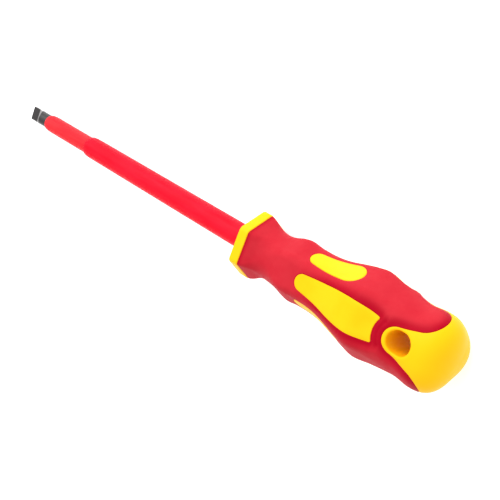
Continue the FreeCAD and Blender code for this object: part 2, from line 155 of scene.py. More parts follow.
def surface(name, grid, wrap=False, ends=(False, False)):
    """A mesh from a grid of points (rows, columns, 3) in millimetres, one quad per grid cell.

    wrap joins the last column to the first; each of ends closes the first or last row with a fan.
    """
    rows, columns = grid.shape[:2]
    number = np.arange(rows * columns).reshape(rows, columns)
    along = number if not wrap else np.concatenate([number, number[:, :1]], axis=1)
    quads = np.stack([along[:-1, :-1], along[:-1, 1:], along[1:, 1:], along[1:, :-1]], axis=-1)
    faces = [tuple(face) for face in quads.reshape(-1, 4).tolist()]
    points = grid.reshape(-1, 3)
    for closed, row, step in ((ends[0], 0, -1), (ends[1], rows - 1, 1)):
        if closed:
            centre = len(points)
            points = np.concatenate([points, grid[row].mean(axis=0, keepdims=True)])
            rim = along[row][::step].tolist()
            faces += [(a, b, centre) for a, b in zip(rim, rim[1:])]
    return mesh_piece(name, points, faces)


def mesh_piece(name, points, faces, sharp=math.radians(50)):
    """An object at the origin from points in millimetres, smooth except over sharp edges."""
    mesh = bpy.data.meshes.new(name)
    mesh.from_pydata((np.asarray(points) * MM).tolist(), [], faces)
    work = bmesh.new()
    work.from_mesh(mesh)
    bmesh.ops.remove_doubles(work, verts=work.verts, dist=0.004 * MM)
    bmesh.ops.recalc_face_normals(work, faces=work.faces)
    work.to_mesh(mesh)
    work.free()
    mesh.polygons.foreach_set("use_smooth", [True] * len(mesh.polygons))
    mesh.set_sharp_from_angle(angle=sharp)
    piece = bpy.data.objects.new(name, mesh)
    bpy.context.scene.collection.objects.link(piece)
    return piece


def finished(piece, finish, slot, *nodes):
    """Dress a piece, put it on the tool's one body, and let it stand for its CAD nodes."""
    piece.data.materials.clear()
    piece.data.materials.append(finish.material)
    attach(piece, "root")
    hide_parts(*nodes)
    return piece


def ground_bar():
    """Bar along X whose section is a circle of BAR_RADIUS cut off at plus and minus half(x) in Z.

    half is TIP_HALF over the tip and rises behind it on a circle of GRIND_RADIUS. Each section has
    two flats and two arcs, with a fixed number of points on each so that the edges stay crisp.
    """
    shoulder = TIP - TIP_FLAT
    sweep = np.linspace(0, math.acos(1 - (BAR_RADIUS - TIP_HALF) / GRIND_RADIUS), 22)[1:]
    grinding = shoulder - GRIND_RADIUS * np.sin(sweep)
    flats = np.linspace(TIP - 0.5, shoulder, 10)
    round_bar = np.linspace(grinding[-1] - 0.3, TAIL + TAIL_BEVEL, 40)
    x = np.concatenate([[TIP, TIP - TIP_BEVEL[0]], flats, grinding, round_bar, [TAIL]])
    half = np.concatenate([
        [TIP_HALF - TIP_BEVEL[1], TIP_HALF], np.full(len(flats), TIP_HALF),
        TIP_HALF + GRIND_RADIUS * (1 - np.cos(sweep)), np.full(len(round_bar) + 1, BAR_RADIUS)])
    radius = np.full(len(x), BAR_RADIUS)
    radius[0] -= TIP_BEVEL[1]
    radius[-1] -= TAIL_BEVEL
    corner = np.arcsin(np.clip(half / radius, 0, 0.9999))[:, None]
    flat = np.linspace(-1, 1, 15)[None, :]
    bend = np.linspace(-1, 1, 15)[None, 1:-1]
    y_flat = radius[:, None] * np.cos(corner) * flat
    z_flat = radius[:, None] * np.sin(corner) * np.ones_like(flat)
    angle = corner * bend
    y_arc = radius[:, None] * np.cos(angle)
    z_arc = radius[:, None] * np.sin(angle)
    y = np.concatenate([y_flat, y_arc[:, ::-1], y_flat[:, ::-1], -y_arc], axis=1)
    z = np.concatenate([z_flat, z_arc[:, ::-1], -z_flat, z_arc], axis=1)
    return np.stack([np.broadcast_to(x[:, None], y.shape), y, z], axis=-1)


steel = Finish("blackened_steel", Metallic=0.85)
blade_x = steel.node("SeparateXYZ", "X", Vector=steel.place())
streaks = steel.noise(1.0, 3.0, 0.6, at=steel.node(
    "Mapping", 0, Vector=steel.place(), Scale=(300.0, 5200.0, 5200.0)))
shoulder_end = (TIP - TIP_FLAT) * MM         # a painted highlight lies just behind this
# Painted highlight: a light grey band over the grinding just behind the shoulder, where its curve
# catches the light.
shoulder_highlight = blade_x.between(shoulder_end - 0.0018, shoulder_end - 0.0013)
shoulder_highlight = shoulder_highlight * (1.0 - blade_x.between(shoulder_end - 0.0002, shoulder_end + 0.0003))
black = steel.mix(streaks, (0.035, 0.033, 0.034), (0.085, 0.08, 0.08))
# The light grey is the painted highlight's colour, mixed over the blackened steel.
steel.feed("Base Color", steel.mix(shoulder_highlight, black, (0.42, 0.40, 0.40)))
steel.feed("Roughness", 0.34 + streaks * 0.2)
steel.bump(streaks, 0.00003, 0.4)
blade = surface("blade_bar", ground_bar(), wrap=True, ends=(True, True))
finished(blade, steel, "blade_steel", "blade")

# ------------------------------------------------------------------ insulating layers
# Two layers of red plastic moulded over the bar. The slim one shows at the nose, which is rounded;
# the thick one starts at a rounded shoulder and tapers a little along its length.
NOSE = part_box("inner_sleeve")[1][0] / MM
SLIM_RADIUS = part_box("inner_sleeve")[1][1] / MM
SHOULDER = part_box("outer_sleeve")[1][0] / MM
THICK_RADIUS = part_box("outer_sleeve")[1][1] / MM
THICK_RADIUS_TIP = 5.04                      # of the thick layer at its shoulder
SLEEVE_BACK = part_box("outer_sleeve")[0][0] / MM
ROUNDING = 3.8                               # length of both rounded fronts


def turned(profile, columns=96):
    """Points of a profile of (x, radius) pairs carried round the X axis."""
    profile = np.asarray(profile, float)
    angle = np.linspace(0, 2 * math.pi, columns, endpoint=False)
    x = np.broadcast_to(profile[:, :1], (len(profile), columns))
    y = profile[:, 1:] * np.cos(angle)
    z = profile[:, 1:] * np.sin(angle)
    return np.stack([x, y, z], axis=-1)


def sleeve_profile(front, bore, inner, outer, outer_back):
    """Closed profile of a tube, from its front round its outside and back along its bore.

    The front goes from the inner to the outer radius over ROUNDING, as a quarter of an ellipse.
    """
    turn = np.linspace(0, math.pi / 2, 14)
    nose = np.stack([
        front - ROUNDING * (1 - np.cos(turn)), inner + (outer - inner) * np.sin(turn)], axis=1)
    body = np.stack([
        np.linspace(front - ROUNDING - 0.5, 0, 40),
        np.linspace(outer, outer_back, 40)], axis=1)
    tail = [(SLEEVE_BACK, outer_back), (SLEEVE_BACK, bore), (front, bore)]
    return np.concatenate([nose, body, tail, nose[:1]])


def sleeve_finish(name, base, mark, dullness):
    """Smooth moulded plastic with faint flow marks along the shaft and a few dull scuffs."""
    finish = Finish(name, Specular_IOR_Level=0.05)
    flow = finish.noise(1.0, 3.0, 0.55, at=finish.node(
        "Mapping", 0, Vector=finish.place(), Scale=(60.0, 420.0, 420.0)))
    scuff = finish.noise(900.0, 4.0, 0.7).between(0.56, 0.74)
    finish.feed("Base Color", finish.mix(flow.between(0.3, 0.7), base, mark))
    finish.feed("Roughness", dullness + scuff * 0.12)
    finish.bump(flow + scuff * 0.4, 0.00004, 0.35)
    return finish


slim = surface("slim_layer", turned(sleeve_profile(
    NOSE, BAR_RADIUS - 0.02, BAR_RADIUS + 0.05, SLIM_RADIUS, SLIM_RADIUS)), wrap=True)
finished(slim, sleeve_finish("slim_layer_red", (0.8, 0.018, 0.028), (0.83, 0.03, 0.038), 0.42),
         "inner_sleeve_plastic", "inner_sleeve")
thick = surface("thick_layer", turned(sleeve_profile(
    SHOULDER, SLIM_RADIUS - 0.02, SLIM_RADIUS + 0.02, THICK_RADIUS_TIP, THICK_RADIUS)), wrap=True)
finished(thick, sleeve_finish("thick_layer_red", (0.84, 0.004, 0.018), (0.86, 0.008, 0.026), 0.4),
         "outer_sleeve_plastic", "outer_sleeve")

# ------------------------------------------------------------------ soft grip
# Red rubbery skin moulded over the hard core, with windows where yellow shows. It starts as a rounded
# hexagon, swells for the palm, and ends in three lobes, sunk a little along the yellow parts there.
COLLAR_BACK = 4.7                            # where the skin starts behind the guard's front face
VERTEX_RADIUS = [                            # places behind that face, and the radius at a corner
    (4.7, 15.0), (7.3, 14.05), (10.5, 12.0), (14.5, 10.95), (18.5, 11.5), (24, 13.5), (28, 14.2),
    (33, 13.6), (37, 13.5), (46, 14.3), (56, 17.1), (61, 18.6), (67, 19.75), (76, 18.3), (84, 17.2),
    (89, 16.8), (96.5, 17.6)]
FLATNESS = [                                 # 0 where the section is a circle, 1 a sharp hexagon
    (4.7, 0.9), (8, 0.8), (11.5, 0.4), (14.5, 0.12), (17, 0.2), (21, 0.62), (25, 0.75), (34, 0.62),
    (64, 0.6), (76, 0.4), (84, 0.15), (91, 0.0)]
SINK = [                                     # how deep the skin sinks at the edge of the yellow
    (55, 0.0), (66, 0.6), (73, 1.25), (80, 1.35), (87, 1.25), (91, 1.2), (96.5, 1.7)]
SINK_WIDTH = 3.4                             # how far from the yellow parts the sink reaches
FACE, LOBE = 0.0, math.pi / 3                # middles of a broad face and of the lobe beside it
THIRD = 2 * math.pi / 3                      # from one broad face to the next
BUTT_START = 96.5
BUTT_INSIDE = 0.3                            # how far its pole stays within the designed solid
BUTT_LENGTH = -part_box("end_cap")[0][0] / MM - BUTT_START - BUTT_INSIDE
BUTT_POWER = (2.3, 2.7)                      # the curve of the butt on a face and on a lobe
BUTT_RISE = 9.0                              # length over which the lobes rise out of the sink
CHART = 16.5                                 # millimetres round the skin that stand for one radian
WALL = 1.7                                   # thickness of the skin
LIP = 0.35                                   # radius of its rolled edges


def through(points, at):
    """Smooth curve through (place, value) pairs, read at those places.

    A cubic between neighbours whose slope at a point is the mean of the slopes on its two sides. It
    is level at both ends and wherever the values turn back, so it never overshoots.
    """
    place, value = np.asarray(points, float).T
    slope = np.diff(value) / np.diff(place)
    bend = np.zeros(len(place))
    bend[1:-1] = np.where(slope[:-1] * slope[1:] > 0, (slope[:-1] + slope[1:]) / 2, 0)
    at = np.clip(at, place[0], place[-1])
    i = np.clip(np.searchsorted(place, at) - 1, 0, len(slope) - 1)
    step = place[i + 1] - place[i]
    t = (at - place[i]) / step
    return ((2 * t - 3) * t * t + 1) * value[i] + t * (t - 1) ** 2 * step * bend[i] + (
        (3 - 2 * t) * t * t * value[i + 1] + t * t * (t - 1) * step * bend[i + 1])


def rounded_hexagon(vertex, share, around):
    """Distance from the centre to a hexagon with rounded corners, at an angle from a flat's middle.

    The corners are arcs whose centres lie at share * vertex from the middle; the flats are the
    straight lines that touch neighbouring arcs.
    """
    corner = np.abs((around + math.pi / 6) % (math.pi / 3) - math.pi / 6)
    off = math.pi / 6 - corner                 # angle from the nearest vertex
    arm = share * vertex
    bend = vertex - arm
    inside = np.sqrt(np.maximum(bend ** 2 - (arm * np.sin(off)) ** 2, 0))
    curved = arm * np.cos(off) + inside
    normal = np.arctan2(curved * np.sin(off), curved * np.cos(off) - arm)
    flat = (arm * math.cos(math.pi / 6) + bend) / np.cos(corner)
    return np.where((normal < math.pi / 6) & (bend > arm * np.sin(off)), curved, flat)


def smooth(share):
    """From 0 to 1 as the share does, but level at both ends: three squares less two cubes."""
    return share * share * (3 - 2 * share)


def skin(back, around, away=0.0):
    """Radius of the handle at a distance behind the guard and an angle from the hole's direction.

    The rounded hexagon, less a sink that fills in smoothly over SINK_WIDTH away from the yellow
    parts and, over the last BUTT_RISE in front of the butt, towards the lobes. The butt multiplies
    that by a superellipse whose power grows from the faces to the lobes.
    """
    back, around, away = np.broadcast_arrays(*(np.asarray(v, float) for v in (back, around, away)))
    lobe = (1 - np.cos(3 * around)) / 2
    rise = np.clip((back - BUTT_START + BUTT_RISE) / BUTT_RISE, 0, 1)
    fill = np.clip(away / SINK_WIDTH, 0, 1)
    reach = np.clip((back - BUTT_START) / BUTT_LENGTH, 0, 1)
    sink = through(SINK, back) * (1 - lobe * smooth(rise)) * (1 - smooth(fill))
    body = rounded_hexagon(through(VERTEX_RADIUS, back), through(FLATNESS, back), around) - sink
    power = BUTT_POWER[0] + (BUTT_POWER[1] - BUTT_POWER[0]) * lobe
    return body * (1 - reach ** power) ** (1 / power)


def laid(curve, depth=0.0, away=0.0):
    """Points in space of (back, around) pairs on the skin, sunk by a depth below it."""
    back, around = curve[..., 0], curve[..., 1]
    radius = skin(back, around, away) - depth
    return np.stack([-back, -radius * np.sin(around), radius * np.cos(around)], axis=-1)


def arc(centre, radius, start, end, count):
    """Points on a circle from one bearing to another; bearing 0 is back along the handle."""
    turn = np.radians(np.linspace(start, end, count))
    return np.stack([centre[0] + radius * np.cos(turn), centre[1] + radius * np.sin(turn)], axis=1)


def spaced(curve, gap):
    """The same line through points, with new ones evenly spaced by about that gap."""
    run = np.concatenate([[0], np.cumsum(np.linalg.norm(np.diff(curve, axis=0), axis=1))])
    at = np.linspace(0, run[-1], max(3, int(round(run[-1] / gap)) + 1))
    return np.stack([np.interp(at, run, curve[:, k]) for k in (0, 1)], axis=1)


def common_tangent(centre_a, radius_a, centre_b, radius_b):
    """Bearing, in degrees, of the two touching points of the line that crosses between circles."""
    across = np.subtract(centre_b, centre_a)
    lean = math.acos((radius_a + radius_b) / np.hypot(*across))
    return math.degrees(math.atan2(across[1], across[0]) + lean)


# Circles on the flat chart, as centre and radius: the yellow tongue on a face, and the finger of red
# that reaches back over a lobe beside it.
TONGUE = ((88.0, 0.0), 6.9)
FINGER = ((93.0, CHART * LOBE), 8.5)


def joint_line():
    """Line where red meets yellow at the back, from a face's middle to a lobe's, on the flat chart.

    An arc round the tongue, a straight tangent, and an arc round the end of the finger.
    """
    (a, ra), (b, rb) = TONGUE, FINGER
    bearing = common_tangent(a, ra, b, rb)
    return np.concatenate([arc(a, ra, 180, bearing, 40), arc(b, rb, bearing - 180, 0, 80)])


PANEL_FRONT = ((37.5, 0.0), 4.2)
PANEL_SIDE = [(33, 3.62), (36.9, 4.16), (48, 5.65), (55.3, 6.75), (62, 7.4), (66, 7.5), (71, 7.2),
              (77.2, 6.2), (81, 5.1)]
PANEL_CORNER = ((77.0, 5.05), 1.2)
PANEL_REAR = 10.9                            # radius of the rear edge about the tongue's centre
PANEL_MEET = 24.7                            # degrees off the middle where corner and rear edge meet


def panel_line():
    """Half of the broad window's outline, as (back, lateral) pairs from its front to its rear.

    A round nose, a bowed side, a small rounded corner, and a rear edge that curves round the tongue.
    """
    side_back = np.linspace(PANEL_SIDE[1][0], PANEL_SIDE[-2][0], 60)
    return np.concatenate([
        arc(*PANEL_FRONT, 180, 98, 30),
        np.stack([side_back, through(PANEL_SIDE, side_back)], axis=1)[1:],
        arc(*PANEL_CORNER, 74, -PANEL_MEET, 12),
        arc(TONGUE[0], PANEL_REAR, 180 - PANEL_MEET, 180, 24)[1:]])


PAD_FRONT = ((37.6, 0.0), 4.25)
PAD_REAR = ((55.0, 0.0), 6.3)


def pad_line():
    """Half of a finger window's outline: a small front arc, a straight tangent, a large rear arc."""
    spread = PAD_FRONT[1] - PAD_REAR[1]
    lean = math.degrees(math.acos(spread / (PAD_REAR[0][0] - PAD_FRONT[0][0])))
    return np.concatenate([arc(*PAD_FRONT, 180, lean, 40), arc(*PAD_REAR, lean, 0, 50)])


def on_skin(line, middle=0.0):
    """(back, around) pairs of a line given as (back, lateral) about a direction on the handle.

    The angle is the arc sine of lateral over the skin's radius, found again at each new angle.
    """
    around = np.arcsin(line[:, 1] / skin(line[:, 0], middle))
    for _ in range(4):
        around = np.arcsin(line[:, 1] / skin(line[:, 0], middle + around))
    return np.stack([line[:, 0], middle + around], axis=1)


def half_outline(line, middle, side=1):
    """Half of an outline on the skin, front to rear on one side, with its ends on the middle."""
    half = on_skin(line * (1, side), middle)
    half[[0, -1], 1] = middle
    return half


def both_sides(line, middle):
    """A closed outline from half of one: there along one side and back along the other."""
    half = half_outline(line, middle)
    other = np.stack([half[:, 0], 2 * middle - half[:, 1]], axis=1)
    return np.concatenate([half, other[-2:0:-1]])


def sideways(curve, closed=False):
    """Unit normals of a line on the skin, in millimetres along the handle and round it.

    They point backwards from a line that goes round the handle, and inwards from an outline. Past
    its ends an open line carries on as its own mirror image.
    """
    radius = skin(*curve.T)
    if closed:
        before, after = np.roll(curve, 1, axis=0), np.roll(curve, -1, axis=0)
    else:
        ends = [[curve[i, 0], 2 * curve[j, 1] - curve[i, 1]] for i, j in ((1, 0), (-2, -1))]
        before = np.concatenate([ends[:1], curve[:-1]])
        after = np.concatenate([curve[1:], ends[1:]])
    along = (after - before) * np.stack([np.ones(len(curve)), radius], axis=1)
    normal = np.stack([along[:, 1], -along[:, 0]], axis=1)
    return normal / np.linalg.norm(normal, axis=1, keepdims=True)


def shifted(curve, distance, closed=False):
    """The line moved sideways over the skin by a distance in millimetres."""
    normal = sideways(curve, closed)
    radius = skin(*curve.T)
    return curve + distance * np.stack([normal[:, 0], normal[:, 1] / radius], axis=1)


def enclosed(points, outline):
    """Which points lie inside a closed outline: those with an odd number of crossings to one side."""
    a, b = outline, np.roll(outline, -1, axis=0)
    x, y = points[:, None, 0], points[:, None, 1]
    crosses = (a[:, 1] > y) != (b[:, 1] > y)
    with np.errstate(divide="ignore", invalid="ignore"):
        at = a[:, 0] + (y - a[:, 1]) * (b[:, 0] - a[:, 0]) / (b[:, 1] - a[:, 1])
    return (crosses & (x < at)).sum(axis=1) % 2 == 1


def filled(border, gap):
    """Triangles over a region of the skin: a square net of points inside, joined to its border."""
    scale = np.array([1.0, CHART])
    edge = border * scale
    low, high = edge.min(axis=0), edge.max(axis=0)
    rows = np.arange(low[0] + gap / 2, high[0], gap)
    columns = np.arange(low[1] + gap / 2, high[1], gap)
    net = np.stack(np.meshgrid(rows, columns, indexing="ij"), axis=-1).reshape(-1, 2)
    near = np.concatenate([
        np.linalg.norm(part[:, None] - edge, axis=2).min(axis=1)
        for part in np.array_split(net, max(1, len(net) // 2000))])
    points = np.concatenate([edge, net[enclosed(net, edge) & (near > 0.6 * gap)]])
    edges = [(k, (k + 1) % len(edge)) for k in range(len(edge))]
    found = delaunay_2d_cdt([Vector(p) for p in points.tolist()], edges, [], 1, 1e-6)
    corners = np.array([tuple(v) for v in found[0]])
    triangles = np.array([face for face in found[2] if len(face) == 3])
    wanted = enclosed(corners[triangles].mean(axis=1), edge)
    return corners / scale, triangles[wanted]


def strip(rows):
    """Quads between successive rows of points, each row an array of points in space."""
    grid = np.stack(rows)
    number = np.arange(grid.shape[0] * grid.shape[1]).reshape(grid.shape[:2])
    quads = np.stack([number[:-1, :-1], number[:-1, 1:], number[1:, 1:], number[1:, :-1]], axis=-1)
    return grid.reshape(-1, 3), quads.reshape(-1, 4)


STRIP_TURN = 34                              # degrees of the strip between panel and tongue


def from_yellow(points):
    """Distance over the chart, in millimetres, from points to the nearest yellow edge at the rear.

    The middle of the strip between panel and tongue counts as an edge too, from the face's middle
    nearly to the panel's corner, so that the strip stays sunk all along.
    """
    between = arc(TONGUE[0], (TONGUE[1] + PANEL_REAR) / 2, 180, 180 - STRIP_TURN, 30)
    edges = np.concatenate([joint * (1, CHART), panel_half * (1, CHART), between])
    return np.concatenate([
        np.linalg.norm(part[:, None] * (1, CHART) - edges, axis=2).min(axis=1)
        for part in np.array_split(points, max(1, len(points) // 2000))])


def sunk(points):
    """The same for a piece that is yellow itself: no distance anywhere."""
    return np.zeros(len(points))


def rolled_edge(curve, lip, wall, side=1, top=from_yellow, foot=from_yellow):
    """Rows that turn a sheet's edge over and down: a quarter circle of radius lip, then a wall.

    Each row is the edge moved sideways by lip * sin and sunk by lip * (1 - cos), then sunk to wall.
    """
    turn = np.linspace(0, math.pi / 2, 6)
    rows = []
    for move, depth in zip(side * lip * np.sin(turn), lip * (1 - np.cos(turn))):
        line = shifted(curve, move)
        rows.append(laid(line, depth, top(line)))
    rows.append(laid(line, wall, foot(line)))
    return strip(rows)


def swung(points, angle):
    """Points turned about the tool's axis, the way that angles round the handle grow."""
    x, y, z = points.T
    cosine, sine = math.cos(angle), math.sin(angle)
    return np.stack([x, y * cosine - z * sine, y * sine + z * cosine], axis=1)


def all_round(plain, holed=None, pierced=None):
    """Points and faces of the whole handle from one sixth, set with its mirror image three times.

    Other patches may stand beside the hole's own face, and beside the lobe where the hole leaves.
    """
    points, faces = [], []
    for turn in range(3):
        for mirror in (1, -1):
            patches = plain
            if turn == 0 and holed:
                patches = holed
            if (turn, mirror) in ((1, 1), (2, -1)) and pierced:
                patches = pierced
            for patch_points, patch_faces in patches:
                first = sum(map(len, points))
                points.append(swung(patch_points * (1, mirror, 1), turn * THIRD))
                faces += (patch_faces + first).tolist()
    return np.concatenate(points), faces


def straight(start, end, gap):
    """Evenly spaced (back, around) pairs on a straight line of the chart."""
    length = np.hypot(*(np.subtract(end, start) * (1, CHART)))
    return np.linspace(start, end, max(2, int(round(length / gap)) + 1))


def chained(lines, gap):
    """A closed border from lines in their order, with straight lines between their ends."""
    border = []
    for line, following in zip(lines, lines[1:] + lines[:1]):
        border += [line, straight(line[-1], following[0], gap)[1:-1]]
    return np.concatenate(border)


# The hanging hole runs from the first face to the lobe opposite, where a hard rim comes up round it.
HOLE_BACK = 89.0
HOLE_HALF_WIDTH = 4.75
HOLE_STRETCH = 0.9                           # how far each half circle moves from the middle
HOLE_LIP = 0.9                               # radius of the soft lip at both ends of the hole
HOLE_RIM = 2.3                               # width of the opening in the skin beyond the hole


def hole_line(grow=0.0):
    """Half of the hole's outline as (back, lateral): two half circles moved a little apart."""
    radius = HOLE_HALF_WIDTH + grow
    return np.concatenate([
        arc((HOLE_BACK - HOLE_STRETCH, 0), radius, 180, 90, 24),
        arc((HOLE_BACK + HOLE_STRETCH, 0), radius, 90, 0, 24)])


# Edges of the red skin over a sixth of the handle. Yellow lies to the same side of each of them but
# the collar, so that all of them are shifted and rolled alike.
FINE = 0.55                                  # spacing of points over the skin
COARSE = 3 * FINE                            # the same where it is hidden
joint = spaced(joint_line(), FINE) / (1, CHART)
joint[[0, -1], 1] = FACE, LOBE
panel_half = half_outline(spaced(panel_line(), FINE), FACE)
pad_half = half_outline(spaced(pad_line(), FINE), LOBE, -1)[::-1]
rim_half = half_outline(spaced(hole_line(HOLE_RIM), FINE), LOBE, -1)[::-1]
collar = straight((COLLAR_BACK + LIP, FACE), (COLLAR_BACK + LIP, LOBE), FINE)


def grip_sheet(windows, move, gap, depth):
    """One sheet of a sixth of the grip, with its edges moved sideways into the windows."""
    lines = [shifted(collar, -move), *(shifted(window, move)[::-1] for window in windows)]
    corners, triangles = filled(chained(lines, gap), gap)
    return laid(corners, depth, from_yellow(corners)), triangles


def grip_sixth(*windows):
    """Outside, inside and rolled edges of a sixth of the grip round those windows."""
    return [
        grip_sheet(windows, 0.0, FINE, 0.0), grip_sheet(windows, LIP, COARSE, WALL),
        rolled_edge(collar, LIP, WALL, side=-1),
        *(rolled_edge(window, LIP, WALL) for window in windows)]


grip = mesh_piece("soft_grip_skin", *all_round(
    grip_sixth(pad_half, joint, panel_half),
    pierced=grip_sixth(pad_half, rim_half, joint, panel_half)))


def tell(piece, name, values):
    """Keep one number per vertex on a piece, for its material to read."""
    attribute = piece.data.attributes.new(name, "FLOAT", "POINT")
    attribute.data.foreach_set("value", np.asarray(values, np.float32))


def chart_of(piece):
    """(back, around) of a piece's vertices, folded into one sixth of the handle."""
    points = np.zeros(len(piece.data.vertices) * 3, np.float32)
    piece.data.vertices.foreach_get("co", points)
    x, y, z = points.reshape(-1, 3).T / MM
    return np.stack([-x, np.abs((np.arctan2(-y, z) + LOBE) % THIRD - LOBE)], axis=1)


# The skin is painted a deeper red where shade falls: in the sunk band beside the yellow parts, the
# more so towards the back, and at the collar next to the guard. This is painted shade, a bell curve of
# the distance from them.
DIP_SHADE_WIDTH, COLLAR_SHADE_WIDTH = 2.6, 1.2
DIP_SHADE_START, DIP_SHADE_FULL = 34, 48
grip_chart = chart_of(grip)
grip_back = grip_chart[:, 0]
dip_shade = np.exp(-(from_yellow(grip_chart) / DIP_SHADE_WIDTH) ** 2)
dip_shade *= np.clip((grip_back - DIP_SHADE_START) / (DIP_SHADE_FULL - DIP_SHADE_START), 0, 1)
# The 'border' attribute holds the painted shade: near 1 in the sunk band and at the collar.
tell(grip, "border", np.maximum(dip_shade, np.exp(-((grip_back - COLLAR_BACK) / COLLAR_SHADE_WIDTH) ** 2)))

rubber = Finish("grip_rubber_red", Specular_IOR_Level=0.05)
# Painted shade: where the border attribute is high, the base colour turns a darker red and the
# roughness drops.
dip_shade_mask = rubber.node("Attribute", "Fac", {"attribute_name": "border"})
grain = rubber.noise(2600.0, 2.0, 0.6)
cloud = rubber.noise(90.0, 3.0, 0.6)
field = rubber.mix(cloud.between(0.3, 0.7), (0.47, 0.014, 0.026), (0.5, 0.02, 0.032))
# The darker red is the painted shade's colour in the sunk band and at the collar.
rubber.feed("Base Color", rubber.mix(dip_shade_mask, field, (0.36, 0.0, 0.012)))
rubber.feed("Roughness", 0.52 + grain * 0.1 - dip_shade_mask * 0.12)
rubber.bump(grain, 0.00005, 0.5)
finished(grip, rubber, "grip_rubber", "soft_grip")

# ------------------------------------------------------------------ end cap
# Yellow hard plastic that shows as the rounded butt and as a tongue on each broad face. The hanging
# hole goes in through one tongue and out through a rim in the lobe opposite, with softly rounded lips.
CAP_FRONT = 76.0                             # how far forward it reaches under the skin
CAP_WALL = 2.4                               # how deep it lies there
CAP_EDGE = 0.3                               # radius of its rolled edges
GAP = 0.06                                   # between the red skin's lip and the yellow parts
DOME_BACK = 103.6                            # where the net of triangles gives way to the dome's rows
cap_edge = shifted(joint, LIP + GAP + CAP_EDGE)
rim_edge = shifted(rim_half, LIP + GAP + CAP_EDGE)


def lip_half(middle, side):
    """Half of the line where the hole's rounded lip begins, from front to rear."""
    return half_outline(hole_line(HOLE_LIP), middle, side)


def hole_rows(middle, side, level):
    """Rows of half the hole's wall: a quarter round from the skin down, then straight to the axis.

    Each row is the outline grown by lip * (1 - sin), sunk by lip * (1 - cos) under the skin there.
    """
    lip = lip_half(middle, side)
    rows = [swung(laid(lip, 0.0, level(lip)), -middle)]
    for turn in np.linspace(0, math.pi / 2, 8)[1:]:
        line = hole_line(HOLE_LIP * (1 - math.sin(turn))) * (1, side)
        height = rows[0][:, 2] - HOLE_LIP * (1 - math.cos(turn))
        rows.append(np.column_stack([-line, height]))
    rows += [rows[-1] * (1, 1, share) for share in np.linspace(0.75, 0, 4)]
    return [swung(row, middle) for row in rows]


def cap_outside(holed):
    """A sixth of the cap between its edge and the start of the dome, with or without the hole."""
    lines = [cap_edge, straight((DOME_BACK, LOBE), (DOME_BACK, FACE), FINE)]
    if holed:
        lines.append(lip_half(FACE, 1)[::-1])
    corners, triangles = filled(chained(lines, FINE), FINE)
    return laid(corners), triangles


def rim_sheet():
    """The rim's face round the hole's lip on the lobe."""
    corners, triangles = filled(chained([rim_edge, lip_half(LOBE, -1)], FINE), FINE)
    return laid(corners, 0.0, from_yellow(corners)), triangles


def dome_rows():
    """Rows from the dome's start to its pole, on the same superellipse as the skin."""
    around = straight((DOME_BACK, FACE), (DOME_BACK, LOBE), FINE)[:, 1]
    first = math.asin((DOME_BACK - BUTT_START) / BUTT_LENGTH)
    rows = []
    for turn in np.linspace(first, math.pi / 2, 30):
        back = BUTT_START + BUTT_LENGTH * math.sin(turn)
        rows.append(laid(np.stack([np.full(len(around), back), around], axis=1)))
    rows[-1][:, 1:] = 0
    return rows


def cap_front(rim):
    """The part of the cap under the red skin, from its edge forward to a flat disc."""
    front = straight((CAP_FRONT, FACE), (CAP_FRONT, LOBE), COARSE)
    edges = [rim_edge, cap_edge] if rim else [cap_edge]
    lines = [front, *(shifted(edge, -CAP_EDGE)[::-1] for edge in edges)]
    corners, triangles = filled(chained(lines, COARSE), COARSE)
    disc = laid(front, CAP_WALL)
    return (laid(corners, CAP_WALL), triangles), strip([disc, disc * (1, 0, 0)])


cap_shared = [strip(dome_rows()), rolled_edge(cap_edge, CAP_EDGE, CAP_WALL, -1, sunk, sunk)]
cap_plain = [*cap_shared, cap_outside(False), *cap_front(False)]
cap_holed = [*cap_shared, cap_outside(True), *cap_front(False), strip(hole_rows(FACE, 1, sunk))]
cap_pierced = [
    *cap_shared, cap_outside(False), *cap_front(True), strip(hole_rows(LOBE, -1, from_yellow)),
    rim_sheet(), rolled_edge(rim_edge, CAP_EDGE, CAP_WALL, -1, from_yellow, sunk)]
cap = mesh_piece("end_cap_shell", *all_round(cap_plain, cap_holed, cap_pierced))

cap_finish = Finish("yellow_butt_plastic", Specular_IOR_Level=0.05)
swirl = cap_finish.noise(70.0, 3.0, 0.5)
pores = cap_finish.noise(1500.0, 3.0, 0.6)
cap_finish.feed("Base Color", cap_finish.mix(swirl, (0.93, 0.46, 0.004), (0.95, 0.5, 0.006)))
cap_finish.feed("Roughness", 0.34 + pores * 0.1)
cap_finish.bump(pores, 0.00003, 0.3)
finished(cap, cap_finish, "end_cap_plastic", "end_cap")

# ------------------------------------------------------------------ panels and finger pads
# Yellow hard plastic that fills the windows of the grip: a broad panel on each face for the maker's
# print, which is left blank here, and a finger pad on each lobe. All stand a little proud.
INLAY_EDGE = 0.32                            # radius of their rolled edges
INLAY_DEPTH = 1.5
PANEL_MIDDLE, PANEL_PROUD = 62.0, 0.12       # where the crown stands highest, and how far it rises
PAD_MIDDLE, PAD_PROUD = 50.0, 0.15


def inlay(name, outline, middle, proud):
    """A crowned plate in a window: rings from its underside over a rolled edge to its middle.

    The edge is a quarter circle inside the outline; the rings inside it shrink towards the middle
    point, and the crown rises as one less the fourth power of the ring's size.
    """
    rim = shifted(outline, LIP + GAP, closed=True)
    turn = np.linspace(0, math.pi / 2, 6)
    rows = [laid(np.broadcast_to(middle, rim.shape), INLAY_DEPTH), laid(rim, INLAY_DEPTH)]
    for move, depth in zip(INLAY_EDGE * (1 - np.cos(turn)), INLAY_EDGE * (1 - np.sin(turn))):
        rows.append(laid(shifted(rim, move, closed=True), depth))
    inner = shifted(rim, INLAY_EDGE, closed=True)
    for size in np.linspace(1, 0, 26)[1:]:
        rows.append(laid(middle + (inner - middle) * size, -proud * (1 - size ** 4)))
    points, faces = strip([np.concatenate([row, row[:1]]) for row in rows])
    return mesh_piece(name, points, faces.tolist())


